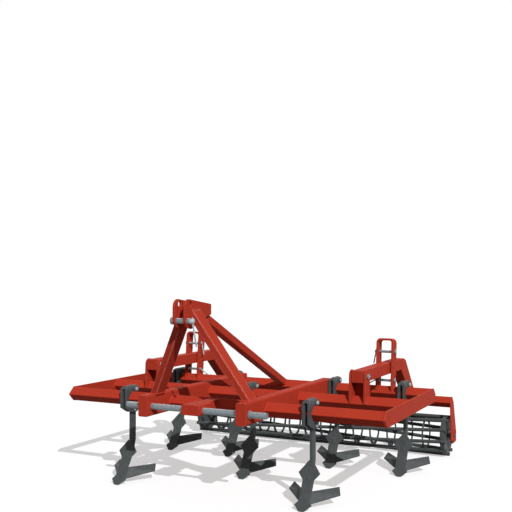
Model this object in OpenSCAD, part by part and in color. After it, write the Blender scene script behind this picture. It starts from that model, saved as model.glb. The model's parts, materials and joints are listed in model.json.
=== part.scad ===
// Mounted field cultivator: cross beams on edge, winged tines, a hitch mast and a cage roller on two arms.
// X to the right seen from the front, Y to the rear, Z up; the origin is on the floor below its middle.

/* [Frame] */
// overall working width over the end plates
frame_w = 3000; // [2600:10:3200]
// side of the square beam tube, which stands on edge
beam_side = 90; // [80:1:100]
// wall of the beam tube
beam_wall = 8; // [5:0.5:12]
// corner radius of the beam tube
beam_round = 7; // [4:0.5:10]
// height of the beam axes over the floor
beam_z = 722; // [680:1:760]
// distance from the front beam to the middle beam
middle_y = 658; // [600:1:700]
// distance from the front beam to the rear beam
rear_y = 1377; // [1300:1:1450]
// thickness of the end plates
end_t = 12; // [8:1:16]

/* [Hitch] */
// inner face of the side members, from the middle
spar_x = 410; // [380:1:430]
// width of a side member
spar_w = 90; // [80:1:100]
// height of the side members' underside over the floor
spar_low = 648; // [630:1:655]
// height of the side members' top over the floor
spar_top = 822; // [800:1:840]
// wall of the side members and of the middle block
spar_wall = 10; // [6:1:14]
// corner radius of the side members
spar_round = 14; // [12:1:18]
// how far the side members reach ahead of the front beam
spar_nose = 380; // [360:1:420]
// diameter of the hitch bar
bar_d = 50; // [36:1:55]
// length of the hitch bar
bar_len = 1300; // [1200:10:1400]
// how far the hitch bar lies ahead of the front beam
bar_y = 320; // [300:1:330]
// height of the hitch bar over the floor
bar_z = 729; // [720:1:750]
// width of the collars on the hitch bar
collar_w = 9.7; // [8:0.1:14]
// how far the collars stand out from the hitch bar
collar_up = 8; // [5:1:12]
// width of the middle block
block_w = 166; // [140:1:180]
// height of the middle block
block_h = 84; // [76:1:90]
// length of the middle block
block_len = 205; // [180:1:230]
// how far the middle block's axis lies above the hitch bar
block_up = 6; // [2:1:10]
// width of the neck from the middle block to the front beam
neck_w = 90; // [70:1:110]

/* [Mast] */
// thickness of the two mast plates
mast_t = 18; // [14:1:24]
// front edge of the mast plates ahead of the front beam
mast_front = 550; // [520:1:580]
// rear edge of the mast plates ahead of the front beam
mast_rear = 150; // [120:1:180]
// height of the mast over the floor
mast_top = 1620; // [1580:1:1660]
// height of the mast plates
mast_h = 235; // [225:1:245]
// height of the mast plates' rear edge
mast_tail = 86; // [70:1:95]
// how far the mast plates' top falls to the rear
mast_slope = 47; // [40:1:55]
// radius of the mast plates' upper front corner
mast_round = 60; // [40:1:70]
// length of the chin below the lower top link hole
mast_chin = 95; // [85:1:105]
// distance from the mast's front edge to the upper top link hole
link_back = 75; // [65:1:85]
// distance from the mast's top to the upper top link hole
link_drop = 40; // [36:1:45]
// distance from the mast's front edge to the lower top link hole
pin_back = 36; // [33:1:42]
// distance from the mast's top to the lower top link hole
pin_drop = 170; // [160:1:180]
// diameter of the top link holes
link_d = 46; // [32:1:50]
// diameter of the lower top link pin
link_pin_d = 44; // [30:1:45]
// how far the top link pin stands out from the mast
link_pin_out = 24; // [15:1:35]
// thickness of the top link pin's head
link_head_t = 30; // [15:1:40]
// how far the top link pin's head stands out from the pin
link_head_up = 8; // [5:1:12]
// width of a mast leg
leg_w = 60; // [50:1:66]
// depth of a mast leg
leg_d = 125; // [110:1:135]
// how far a leg's foot lies outside the inner face of its side member
leg_in = 25; // [20:1:30]
// how far a leg's foot lies behind the hitch bar
leg_back = 125; // [110:1:140]
// how far a leg's head lies behind the mast's front edge
leg_head_back = 175; // [165:1:185]
// how far a leg's head lies below the mast's top
leg_head_drop = 140; // [130:1:150]
// wall of the mast legs and of the stay
leg_wall = 6; // [4:0.5:10]
// width of the stay from the mast to the rear beam
stay_w = 80; // [60:1:90]
// height of the stay's section
stay_h = 64; // [55:1:75]
// how far the stay reaches in between the mast plates
stay_in = 90; // [70:1:110]
// how far the stay's head lies below the mast's top
stay_drop = 130; // [125:1:140]
// how far the stay's foot lies above the rear beam's axis
stay_up = 23; // [15:1:30]

/* [Tines] */
// how far the front tines lie inside the end plates
front_in = 630; // [600:5:700]
// how far the outer rear tines lie inside the end plates
outer_in = 280; // [260:5:300]
// gap between the inner rear clamps and the side members
tine_gap = 6.2; // [5:0.1:15]
// thickness of the shank, across the tine
shank_w = 25; // [20:1:30]
// depth of the shank, along the tine
shank_d = 64; // [55:1:70]
// thickness of each clamp cheek
cheek_t = 22; // [18:1:24]
// thickness of a clamp ahead of its beam
clamp_front = 20; // [15:1:25]
// height of a clamp over its beam
clamp_rise = 50; // [45:1:60]
// depth of a clamp under its beam
clamp_drop = 60; // [50:1:70]
// how far a clamp reaches behind its beam's axis
clamp_back = 102; // [95:1:110]
// cut of a clamp's corners
clamp_cut = 24; // [18:1:28]
// height of the top of the share
share_top = 352; // [330:1:370]
// how far the share's point lies ahead of its top
share_reach = 193; // [170:1:210]
// angle that the share's curve turns through
share_turn = 30; // [20:1:40]
// thickness of the share plate
share_t = 14; // [10:1:18]
// width of the share's rhombus
share_w = 180; // [160:1:200]
// width of the share's strip below the rhombus
strip_w = 92; // [80:1:100]
// width of the flared point
point_w = 142; // [120:1:150]
// width of the share's tip
tip_w = 40; // [30:1:50]
// height of the rhombus's widest place
rhombus_z = 258; // [250:1:265]
// height where the rhombus meets the strip
neck_z = 208; // [200:1:215]
// height where the point begins to flare
flare_z = 64; // [60:1:70]
// height of the point's widest place
point_z = 40; // [35:1:45]
// how far the share's top lies behind the beam axis
share_set = 8; // [0:1:15]
// height of the shank's lower end
shank_low = 64; // [60:1:75]
// depth of the shank's lower end
shank_end = 45; // [40:1:50]
// height of the lower edge of a wing at its shank
wing_low = 40; // [36:1:50]
// height of the upper edge of a wing at its shank
wing_high = 128; // [120:1:135]
// reach of each wing to the side of its tine
wing_reach = 222; // [200:1:240]
// angle that the wings sweep back by
wing_sweep = 44; // [38:1:48]
// rise of a wing's lower edge out to its tip
wing_rise = 52; // [40:1:60]
// length of a wing's end edge
wing_end = 77; // [70:1:85]
// slope of a wing's end edge
wing_tilt = 40; // [35:1:45]
// turn of a wing's end edge towards the tine
wing_turn = 27; // [15:1:35]
// thickness of the wings
wing_t = 10; // [8:1:14]

/* [Roller arms] */
// how far the arms lie inside the end plates
arm_in = 454; // [445:1:475]
// side of the square arm tube
arm_side = 100; // [90:1:105]
// wall of the arm tube
arm_wall = 8; // [5:0.5:12]
// height of the arm pivot over the floor
pivot_z = 950; // [940:1:965]
// how far the arm reaches ahead of its pivot
arm_nose = 54; // [45:1:60]
// distance from the arm pivot to the corner of the arm
arm_len = 1175; // [1120:1:1200]
// cut of the arm's outer corner
arm_cut = 36; // [20:1:50]
// how far the arm's taper reaches ahead of its corner
arm_web = 95; // [60:1:120]
// wall of the bush in an arm
bush_wall = 12; // [8:1:14]
// diameter of the pivot pins
pivot_d = 32; // [25:1:36]
// thickness of the pivot bracket plates
bracket_t = 20; // [15:1:22]
// how far a bracket's eye stands over its arm
eye_rim = 4; // [2:1:6]
// height of the bracket's foot over the beam's axis
bracket_foot = 8; // [5:1:12]
// how far a pivot pin stands out at its inner end
pivot_end = 14; // [10:1:20]
// thickness of a pivot pin's head
pivot_head_t = 12; // [8:1:16]
// how far a pivot pin's head stands out from the pin
pivot_head_up = 7; // [5:1:10]
// thickness of the guide straps
guide_t = 20; // [16:1:24]
// depth of the guide straps
guide_d = 105; // [95:1:115]
// height of the guides over the floor
guide_top = 1222; // [1190:1:1240]
// radius of the guides' upper corners
guide_round = 40; // [30:1:50]
// extra gap between an arm and its guide
guide_play = 7; // [4:1:10]
// angle that the guides lean back by
guide_lean = 5; // [0:0.5:8]
// diameter of the stop pins
stop_d = 24; // [18:1:26]
// how far the stop pins stand out from the guides
stop_out = 20; // [15:1:30]
// height of the lower stop pin over the floor
stop_low = 834; // [825:1:845]
// pitch of the guide holes in each row
hole_pitch = 53; // [50:1:56]

/* [Roller] */
// diameter of the cage roller
roller_d = 400; // [380:1:420]
// distance from the arm pivot to the roller axis, along the machine
roller_y = 1600; // [1570:1:1630]
// how far the roller plates lie inside the end plates
roller_in = 24; // [15:1:40]
// number of bars of the cage
bar_count = 10; // [8:1:12]
// diameter of a cage bar
cage_bar_d = 36; // [28:1:40]
// angle that the bars twist through from end to end
cage_twist = 50; // [0:1:60]
// number of inner rings
ring_count = 14; // [8:1:16]
// thickness of an inner ring
ring_t = 8; // [5:0.5:12]
// radial width of an inner ring
ring_w = 32; // [20:1:45]
// width of the end rims
rim_w = 40; // [30:1:50]
// how far the end rims lie inside the outline of the bars
rim_in = 12; // [8:1:16]
// wall of the end rims
rim_wall = 26; // [25:1:32]
// thickness of the discs in the end rims
disc_t = 12; // [8:1:16]
// gap between the end rims and the bearings
rim_gap = 20; // [15:1:30]
// how far the bars' ends stand out from the end rims
bar_end = 20; // [10:1:25]
// diameter of the stub axles
axle_d = 40; // [30:1:45]
// width of a bearing
bearing_w = 28; // [24:1:34]
// wall of a bearing's housing
bearing_wall = 18; // [14:1:22]
// side of a bearing's square flange
flange_w = 110; // [100:1:120]
// thickness of a bearing's flange
flange_t = 12; // [8:1:14]
// depth of the roller plates at the axle
plate_d = 190; // [170:1:210]
// how far the roller plates reach below the axle
plate_low = 66; // [60:1:80]
// cut of the roller plates' lower corners
plate_cut = 34; // [25:1:40]
// side of the square roller beam tube, which stands on edge
rear_tube = 80; // [70:1:85]
// height of the roller beam over the roller axis
rear_tube_up = 345; // [330:1:370]
// how far the roller beam lies ahead of the roller axis
rear_tube_ahead = 64; // [50:1:80]

/* [Fits] */
// radial clearance of fixed pins and bars in their holes
pin_fit = 0.25; // [0.1:0.05:0.4]
// radial clearance of turning pins in their bores
run_fit = 0.1; // [0.05:0.01:0.1]
// gap between an arm and the plates beside it
arm_gap = 5; // [5:0.5:8]
// gap where one piece seats beside another
seat = 0.3; // [0.2:0.05:0.5]

/* [Hidden] */
$fn = 64;
red = "#B23A2E";
dark = "#46484A";
steel = "#8C9AA3";
half_w = frame_w / 2;
front_tine_x = half_w - front_in;
outer_tine_x = half_w - outer_in;
arm_x = half_w - arm_in;
beam_half = beam_side / sqrt(2);            // half diagonal of a beam
rear_half = rear_tube / sqrt(2);            // half diagonal of the roller beam
front_y = 0;
mast_gap = stay_w + 2 * seat;               // space between the mast plates
mast_out = mast_gap / 2 + mast_t;           // outer face of a mast plate
clamp_gap = shank_w + 2 * seat;             // space between the clamp cheeks
clamp_w = clamp_gap + 2 * cheek_t;
inner_tine_x = spar_x + spar_w + tine_gap + clamp_w / 2;
bracket_gap = arm_side + 2 * arm_gap;       // space between the bracket plates
guide_gap = bracket_gap + 2 * guide_play;   // space between the guide legs
stop_high = stop_low + 5 * hole_pitch;
pivot = [middle_y, pivot_z];
axle = [middle_y + roller_y, roller_d / 2];
rear_beam_at = axle + [-rear_tube_ahead, rear_tube_up];
arm_corner = pivot + [arm_len, 0];
arm_fall = atan2(arm_corner[1] - rear_beam_at[1], rear_beam_at[0] - arm_corner[0]);
plate_out = half_w - roller_in;             // outer face of the roller plates
plate_face = plate_out - end_t;             // inner face of the roller plates
rim_out = plate_face - bearing_w - rim_gap; // outer face of the roller's end rims
cage_r = roller_d / 2 - cage_bar_d / 2;     // radius of the circle of bar axes
y_mid = (axle[0] + roller_d / 2 - mast_front) / 2;
far = 4000;

// rows of tines: [name, y of the beam, places across]
ROWS = [
    ["front", front_y, [-front_tine_x, front_tine_x]],
    ["middle", middle_y, [0]],
    ["rear", rear_y, [-outer_tine_x, -inner_tine_x, inner_tine_x, outer_tine_x]],
];
SIDES = [["left", -1], ["right", 1]];

// outline of a rectangle with rounded corners, centred
function round_rect(w, h, r, n = 5) = [
    for (q = [0:3], k = [0:n])
        let (a = 90 * (q + k / n), sx = q == 0 || q == 3 ? 1 : -1, sy = q < 2 ? 1 : -1)
        [sx * (w / 2 - r) + r * cos(a), sy * (h / 2 - r) + r * sin(a)]
];

// points of the arc from p to q that turns by the given angle, hollow towards the right of the way
function arc(p, q, turn, n = 12) =
    let (chord = norm(q - p), dir = (q - p) / chord, r = chord / 2 / sin(turn / 2),
         c = (p + q) / 2 + [dir[1], -dir[0]] * r * cos(turn / 2), v = p - c)
    [for (k = [0:n]) let (a = -turn * k / n)
        c + [v[0] * cos(a) - v[1] * sin(a), v[0] * sin(a) + v[1] * cos(a)]];

// unit vector
function unit(v) = v / norm(v);

// list from its end to its start
function reversed(list) = [for (k = [len(list) - 1:-1:0]) list[k]];

// drawing in Y and Z, extruded along X
module along_x(x0, x1) {
    translate([x0, 0, 0]) rotate([90, 0, 90]) linear_extrude(x1 - x0) children();
}

// drawing in X and Z, extruded along Y
module along_y(y0, y1) {
    translate([0, y1, 0]) rotate([90, 0, 0]) linear_extrude(y1 - y0) children();
}

// straight bar along X
module rod(x0, x1, d) {
    translate([x0, 0, 0]) rotate([0, 90, 0]) cylinder(d = d, h = x1 - x0);
}

// moves the machine so that the origin lies below the middle of its box
module machine() {
    translate([0, -y_mid, 0]) children();
}

// the left side is the right side seen in a mirror
module on_side(s) {
    if (s < 0) mirror([1, 0, 0]) children();
    else children();
}

// a copy at each tine of a row, on the floor below its beam
module at_tines(row) {
    for (x = row[2]) translate([x, row[1], 0]) children();
}

// a copy on each side
module both_sides() {
    for (s = SIDES) on_side(s[1]) children();
}

// square on edge, for beams and what seats on them
module diamond(half) {
    rotate(45) square(half * sqrt(2), center = true);
}

// section of a square tube
module tube(side, wall, r) {
    difference() {
        polygon(round_rect(side, side, r));
        polygon(round_rect(side - 2 * wall, side - 2 * wall, max(r - wall, 1)));
    }
}

// space taken by the three beams
module beam_space() {
    for (y = [front_y, middle_y, rear_y])
        along_x(-half_w, half_w) translate([y, beam_z]) diamond(beam_half);
}

// one cross beam
module beam(y) {
    color(red) machine()
        along_x(-half_w + end_t, half_w - end_t)
            translate([y, beam_z]) rotate(45) tube(beam_side, beam_wall, beam_round);
}

module front_beam() { beam(front_y); }
module middle_beam() { beam(middle_y); }
module rear_beam() { beam(rear_y); }

// plate over the beam ends, pointed like the beams at both ends
module end_plate(s) {
    color(red) machine() on_side(s)
        along_x(half_w - end_t, half_w) translate([0, beam_z])
            polygon([
                [-beam_half, 0], [0, beam_half], [rear_y, beam_half],
                [rear_y + beam_half, 0], [rear_y, -beam_half], [0, -beam_half],
            ]);
}

// side member from the hitch over the front and middle beams to the rear beam
module spar(s) {
    h = spar_top - spar_low;
    mid = [spar_x + spar_w / 2, (spar_top + spar_low) / 2];
    color(red) machine() on_side(s) difference() {
        along_y(-spar_nose, rear_y) translate(mid) polygon(round_rect(spar_w, h, spar_round));
        along_y(-spar_nose + spar_wall, far) translate(mid)
            polygon(round_rect(spar_w - 2 * spar_wall, h - 2 * spar_wall, spar_round - spar_wall + 1));
        beam_space();
        translate([0, -bar_y, bar_z]) rod(-far, far, bar_d + 2 * pin_fit);
    }
}

// block between the side members that steadies the hitch bar
module hitch_block() {
    mid = [0, bar_z + block_up];
    rear = block_len - spar_nose;
    color(red) machine() difference() {
        union() {
            along_y(-spar_nose, rear) translate(mid) polygon(round_rect(block_w, block_h, spar_round));
            along_y(rear - spar_wall, 0) translate(mid) square([neck_w, block_h], center = true);
        }
        along_y(-spar_nose + spar_wall, rear - spar_wall) translate(mid)
            square([block_w - 2 * spar_wall, block_h - 2 * spar_wall], center = true);
        along_y(rear - 2 * spar_wall, far) translate(mid)
            square([neck_w - 2 * spar_wall, block_h - 2 * spar_wall], center = true);
        beam_space();
        translate([0, -bar_y, bar_z]) rod(-far, far, bar_d + 2 * pin_fit);
    }
}

// round bar whose ends carry the tractor's lower links
module hitch_bar() {
    side = spar_x + spar_w + seat;
    color(steel) machine() translate([0, -bar_y, bar_z]) {
        rod(-bar_len / 2, bar_len / 2, bar_d);
        both_sides() rod(side, side + collar_w, bar_d + 2 * collar_up);
    }
}

// heights and places of the top link holes: [y, z]
link_high = [-mast_front + link_back, mast_top - link_drop];
link_low = [-mast_front + pin_back, mast_top - pin_drop];

// outline of a mast plate, with a chin below the lower pin
module mast_outline() {
    difference() {
        polygon(concat(
            [[-mast_rear, mast_top - mast_slope], [-mast_rear, mast_top - mast_slope - mast_tail],
             [-mast_rear - 2 * stay_in, link_low[1]], [-mast_front + mast_chin, mast_top - mast_h],
             [-mast_front + mast_chin / 3, mast_top - mast_h + mast_chin / 6],
             [-mast_front, link_low[1] - mast_chin / 9]],
            arc([-mast_front, mast_top - mast_round], [-mast_front + mast_round, mast_top], 85, 8)
        ));
        translate(link_high) circle(d = link_d);
        translate(link_low) circle(d = link_pin_d + 2 * pin_fit);
    }
}

// two plates that take the tractor's top link between them
module mast_plates() {
    color(red) machine() both_sides() along_x(mast_gap / 2, mast_out) mast_outline();
}

// pin left in the lower top link hole
module link_pin() {
    color(steel) machine() translate([0, link_low[0], link_low[1]]) {
        rod(-mast_out - link_head_t / 2, mast_out + link_pin_out, link_pin_d);
        rod(-mast_out - link_head_t, -mast_out - seat, link_pin_d + 2 * link_head_up);
    }
}

// sloping tube from the side member's top to the mast plate
module mast_leg(s) {
    foot = [spar_x + leg_in, -bar_y + leg_back, spar_top];
    head = [mast_out, -mast_front + leg_head_back, mast_top - leg_head_drop];
    up = unit(head - foot);
    side = unit(cross([0, 1, 0], up));
    deep = cross(up, side);
    color(red) machine() on_side(s) difference() {
        translate(foot) multmatrix([
            [side[0], deep[0], up[0], 0], [side[1], deep[1], up[1], 0],
            [side[2], deep[2], up[2], 0], [0, 0, 0, 1],
        ])
            translate([0, 0, -leg_d]) linear_extrude(norm(head - foot) + 2 * leg_d) difference() {
                polygon(round_rect(leg_w, leg_d, leg_wall));
                square([leg_w - 2 * leg_wall, leg_d - 2 * leg_wall], center = true);
            }
        translate([-far, -far, spar_top - far]) cube([2 * far, 2 * far, far]);
        translate([mast_out - far, -far, 0]) cube([far, 2 * far, far]);
    }
}

// tube in the middle from between the mast plates down to the rear beam
module mast_stay() {
    head = [-mast_rear - stay_in, mast_top - stay_drop];
    foot = [rear_y, beam_z + stay_up];
    fall = atan2(head[1] - foot[1], foot[0] - head[0]);
    color(red) machine() difference() {
        translate([0, head[0], head[1]]) rotate([-fall, 0, 0])
            along_y(0, norm(foot - head) - stay_h / 4) difference() {
                polygon(round_rect(stay_w, stay_h, leg_wall));
                square([stay_w - 2 * leg_wall, stay_h - 2 * leg_wall], center = true);
            }
        beam_space();
    }
}

// plates on the middle beam that hold an arm's pivot
module pivot_bracket(s) {
    eye = arm_side / 2 + eye_rim;
    foot = beam_z + bracket_foot;
    color(red) machine() on_side(s) difference() {
        for (x = [arm_x - bracket_gap / 2 - bracket_t, arm_x + bracket_gap / 2])
            along_x(x, x + bracket_t) {
                translate(pivot) circle(eye);
                polygon([
                    pivot + [-eye, 0], pivot + [eye, 0],
                    [middle_y + beam_half, foot], [middle_y + beam_half, beam_z],
                    [middle_y - beam_half, beam_z], [middle_y - beam_half, foot],
                ]);
            }
        beam_space();
        translate([0, pivot[0], pivot[1]]) rod(-far, far, pivot_d + 2 * pin_fit);
    }
}

// pins through the brackets and the arms, each with a head on the outside
module pivot_pins() {
    out = arm_x + bracket_gap / 2 + bracket_t;
    color(steel) machine() both_sides() translate([0, pivot[0], pivot[1]]) {
        rod(2 * arm_x - out - pivot_end, out + 2 * seat, pivot_d);
        rod(out + seat, out + pivot_head_t, pivot_d + 2 * pivot_head_up);
    }
}

// leans a guide and its pins back about the rear beam
module leaning() {
    translate([0, rear_y, beam_z]) rotate([-guide_lean, 0, 0]) translate([0, -rear_y, -beam_z]) children();
}

// upside-down U over an arm, with two staggered rows of holes for the stop pins
module guide(s) {
    w = guide_gap + 2 * guide_t;
    knee = guide_top - guide_round;
    color(red) machine() on_side(s) difference() {
        leaning() difference() {
            along_y(rear_y - guide_d / 2, rear_y + guide_d / 2) translate([arm_x, 0]) difference() {
                union() {
                    translate([-w / 2, beam_z]) square([w, knee - beam_z]);
                    translate([0, guide_top - w / 2]) polygon(round_rect(w, w, guide_round));
                }
                translate([-guide_gap / 2, 0]) square([guide_gap, knee]);
                translate([0, guide_top - w / 2])
                    polygon(round_rect(guide_gap, guide_gap, guide_round - guide_t + 1));
            }
            guide_holes();
        }
        beam_space();
    }
}

// holes through both guide legs: five pitches in front, four between them behind
module guide_holes() {
    for (k = [0:5]) translate([0, rear_y - guide_d / 5, stop_low + k * hole_pitch])
        rod(0, far, stop_d + 2 * pin_fit);
    for (k = [0:4]) translate([0, rear_y + guide_d / 5, stop_low + (k + 0.5) * hole_pitch])
        rod(0, far, stop_d + 2 * pin_fit);
}

// upper and lower pins that stop the arms
module stop_pins() {
    reach = guide_gap / 2 + guide_t + stop_out;
    color(steel) machine() both_sides() leaning()
        for (z = [stop_low, stop_high]) translate([0, rear_y - guide_d / 5, z])
            rod(arm_x - reach, arm_x + reach, stop_d);
}

// side outline of a clamp cheek: a hook round the front of its beam, open to the rear
module cheek_outline() {
    front = beam_half + clamp_front;
    top = beam_half + clamp_rise;
    low = beam_half + clamp_drop;
    difference() {
        translate([0, beam_z]) polygon([
            [-front, -beam_half - clamp_cut / 2], [-front, top - clamp_cut], [-front + clamp_cut, top],
            [clamp_back - clamp_cut, top], [clamp_back, top - clamp_cut], [clamp_back, clamp_cut - low],
            [clamp_back - clamp_cut, -low], [share_set, -low],
        ]);
        translate([0, beam_z]) diamond(beam_half);
        translate([0, beam_z - beam_half]) square([far, 2 * beam_half]);
    }
}

// clamp of two cheeks under an arched bridge, hooked over its beam
module clamps(row) {
    top = beam_z + beam_half + clamp_rise;
    color(dark) machine() at_tines(row) intersection() {
        along_x(-clamp_w / 2, clamp_w / 2) cheek_outline();
        along_y(-far, far) difference() {
            union() {
                translate([0, top - clamp_w / 2]) circle(d = clamp_w);
                translate([-clamp_w / 2, 0]) square([clamp_w, top - clamp_w / 2]);
            }
            translate([0, top - clamp_w / 2]) circle(d = clamp_gap);
            translate([-clamp_gap / 2, 0]) square([clamp_gap, top - clamp_w / 2]);
        }
    }
}

// top and point of the share's front face, beside its beam, and the middle of its curve: [y, z]
share_head = [share_set, share_top];
share_tip = share_head - [share_reach, share_top];
share_r = norm(share_head - share_tip) / 2 / sin(share_turn / 2);
share_mid = (share_head + share_tip) / 2
    + share_r * cos(share_turn / 2) * unit([-share_top, share_reach]);

// the share's curve, moved back by so much
function share_curve(shift) = arc(share_head + [shift, 0], share_tip + [shift, 0], share_turn);

// a point of the share's back face at one height
function share_back(z) = [share_mid[0] + sqrt(pow(share_r, 2) - pow(z - share_mid[1], 2)) + share_t, z];

// flat bar that hangs from the clamp and curves forward behind the share
module shanks(row) {
    face = [for (p = share_curve(share_t + seat)) if (p[1] > shank_low) p];
    back = arc(face[0] + [shank_d, 0], share_back(shank_low) + [shank_end, 0], share_turn);
    top = beam_z - beam_half - seat;
    color(dark) machine() at_tines(row)
        along_x(-shank_w / 2, shank_w / 2) polygon(concat(
            [[face[0][0], top]], face, reversed(back), [[back[0][0], top]]
        ));
}

// curved plates with a rhombus on top and a flared point
module shares(row) {
    half = [
        [shank_w / 2, share_top], [share_w / 2, rhombus_z], [strip_w / 2, neck_z],
        [strip_w / 2, flare_z], [point_w / 2, point_z], [tip_w / 2, 0],
    ];
    color(dark) machine() at_tines(row)
        intersection() {
            along_x(-share_w / 2, share_w / 2)
                polygon(concat(share_curve(0), reversed(share_curve(share_t))));
            along_y(-far, far) polygon(concat(half, [for (p = reversed(half)) [-p[0], p[1]]]));
        }
}

// flat blades swept out and back from behind each share, beside the shank
module wings(row) {
    low = share_back(wing_low);
    high = share_back(wing_high);
    sag = share_r - sqrt(pow(share_r, 2) - pow(norm(high - low) / 2, 2));
    back = (sag + seat) * unit([high[1] - low[1], low[0] - high[0]]);
    tip = low + back + [wing_reach * tan(wing_sweep), wing_rise];
    color(dark) machine() at_tines(row) both_sides() hull() {
        slat(shank_w / 2 + seat, low + back, high + back, 0);
        slat(wing_reach - 2, tip, tip + wing_end * [cos(wing_tilt), sin(wing_tilt)], wing_turn);
    }
}

// thin cross section of a wing at one distance from the middle, turned about its lower edge's end
module slat(x, low, high, turn) {
    translate([x, low[0], low[1]]) rotate([atan2(high[1] - low[1], high[0] - low[0]), 0, turn])
        translate([0, 0, -wing_t]) cube([2, norm(high - low), wing_t]);
}

// side outline of an arm, so far to each side of its bent axis, from so far ahead of the pivot
module arm_outline(half, nose) {
    along = [cos(arm_fall), -sin(arm_fall)];
    across = [sin(arm_fall), cos(arm_fall)];
    mitre = half * tan(arm_fall / 2);
    outer = arm_corner + [mitre, half];
    end = rear_beam_at - rear_half * min(cos(arm_fall), sin(arm_fall)) * along;
    polygon([
        pivot + [-nose, half], outer - [arm_cut, 0], outer + arm_cut * along,
        end + half * across, end - half * across,
        arm_corner - [mitre + arm_web, half], pivot + [-nose, -half],
    ]);
}

// bent box arm from the pivot to the roller beam, with a bush for the pivot pin
module roller_arm(s) {
    half = arm_side / 2;
    color(red) machine() on_side(s) translate([arm_x, 0, 0]) difference() {
        along_x(-half, half) arm_outline(half, arm_nose);
        difference() {
            along_x(arm_wall - half, half - arm_wall) arm_outline(half - arm_wall, arm_nose - arm_wall);
            translate([0, pivot[0], pivot[1]]) rod(-half, half, pivot_d + 2 * bush_wall);
        }
        along_x(-far, far) translate(rear_beam_at) diamond(rear_half);
        translate([0, pivot[0], pivot[1]]) rod(-far, far, pivot_d + 2 * run_fit);
    }
}

// cross beam that carries the roller
module roller_beam() {
    color(red) machine()
        along_x(-plate_face, plate_face)
            translate(rear_beam_at) rotate(45) tube(rear_tube, beam_wall, beam_round);
}

// plate from the roller beam's end down to the roller's bearing
module roller_plate(s) {
    up = rear_beam_at;
    color(red) machine() on_side(s) difference() {
        along_x(plate_face, plate_out) polygon([
            up + [-rear_half, 0], up + [0, rear_half], up + [rear_half, 0],
            axle + [plate_d / 2, plate_cut], axle + [plate_d / 2, plate_cut - plate_low],
            axle + [plate_d / 2 - plate_cut, -plate_low], axle + [plate_cut - plate_d / 2, -plate_low],
            axle + [-plate_d / 2, plate_cut - plate_low],
        ]);
        translate([0, axle[0], axle[1]]) rod(0, far, axle_d + 2 * run_fit);
    }
}

// flange bearings on the inside of the roller plates
module bearings() {
    color(dark) machine() both_sides() translate([0, axle[0], axle[1]]) difference() {
        union() {
            rod(plate_face - bearing_w, plate_face, axle_d + 2 * bearing_wall);
            along_x(plate_face - flange_t, plate_face) polygon(round_rect(flange_w, flange_w, flange_t));
        }
        rod(0, far, axle_d + 2 * run_fit);
    }
}

// twisted round bars of the cage
module cage_bars() {
    len = 2 * (rim_out - rim_w - seat);
    color(dark) machine() translate([-len / 2, axle[0], axle[1]]) rotate([90, 0, 90])
        for (k = [0:bar_count - 1]) rotate((k + 0.5) * 360 / bar_count + cage_twist / 2 - 90)
            linear_extrude(len, twist = cage_twist, slices = 12, segments = 10)
                translate([cage_r, 0]) circle(d = cage_bar_d, $fn = 10);
}

// thin rings inside the bars
module cage_rings() {
    r = cage_r - cage_bar_d / 2 - seat;
    step = 2 * (rim_out - rim_w) / (ring_count + 1);
    color(dark) machine() translate([0, axle[0], axle[1]])
        for (k = [1:ring_count]) translate([-rim_out + rim_w + k * step - ring_t / 2, 0, 0]) difference() {
            rod(0, ring_t, 2 * r);
            rod(-1, ring_t + 1, 2 * (r - ring_w));
        }
}

// end rims with their discs, the ends of the bars and the stub axles
module cage_ends() {
    r = roller_d / 2 - rim_in;
    color(dark) machine() translate([0, axle[0], axle[1]]) for (s = SIDES) on_side(s[1]) {
        difference() {
            rod(rim_out - rim_w, rim_out, 2 * r);
            rod(rim_out - rim_w - 1, rim_out - disc_t, 2 * (r - rim_wall));
        }
        for (k = [0:bar_count - 1]) rotate([(k + 0.5) * 360 / bar_count - s[1] * cage_twist / 2 - 90, 0, 0])
            translate([0, cage_r, 0]) rod(rim_out - rim_w + seat, rim_out + bar_end, cage_bar_d);
        rod(rim_out - 1, plate_out - seat, axle_d);
    }
}

front_beam();
middle_beam();
rear_beam();
hitch_block();
hitch_bar();
mast_plates();
mast_stay();
link_pin();
roller_beam();
cage_bars();
cage_rings();
cage_ends();
pivot_pins();
stop_pins();
bearings();
for (s = SIDES) {
    end_plate(s[1]);
    spar(s[1]);
    mast_leg(s[1]);
    pivot_bracket(s[1]);
    guide(s[1]);
    roller_arm(s[1]);
    roller_plate(s[1]);
}
for (r = ROWS) {
    clamps(r);
    shanks(r);
    shares(r);
    wings(r);
}
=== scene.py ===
"""Looks of a mounted field cultivator.

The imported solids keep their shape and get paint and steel. This script adds what holds them together:
bolts in their eyes, pins with clips and handles, bracket plates, weld beads, grease nipples and the round
bars of the cage. Lengths are in metres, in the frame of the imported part: +X to the right seen from the
hitch, +Y from the hitch to the roller, +Z up.
"""

import json

import bmesh
import bpy
import numpy as np
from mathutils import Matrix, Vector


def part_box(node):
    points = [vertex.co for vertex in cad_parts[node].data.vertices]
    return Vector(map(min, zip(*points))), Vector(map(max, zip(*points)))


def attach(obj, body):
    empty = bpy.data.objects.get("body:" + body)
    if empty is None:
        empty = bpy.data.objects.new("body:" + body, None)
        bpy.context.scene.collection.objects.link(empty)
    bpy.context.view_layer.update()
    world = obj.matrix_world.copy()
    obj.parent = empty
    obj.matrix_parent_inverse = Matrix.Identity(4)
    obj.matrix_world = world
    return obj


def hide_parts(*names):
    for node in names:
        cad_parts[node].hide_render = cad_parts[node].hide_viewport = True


bl_info = {
    "name": "Field Cultivator Looks",
    "version": (1, 1, 0),
    "blender": (4, 5, 0),
    "location": "View3D > Sidebar > Cultivator",
    "description": "Paint, steel, hardware and weld beads for a mounted field cultivator",
    "category": "Object",
}

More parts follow.
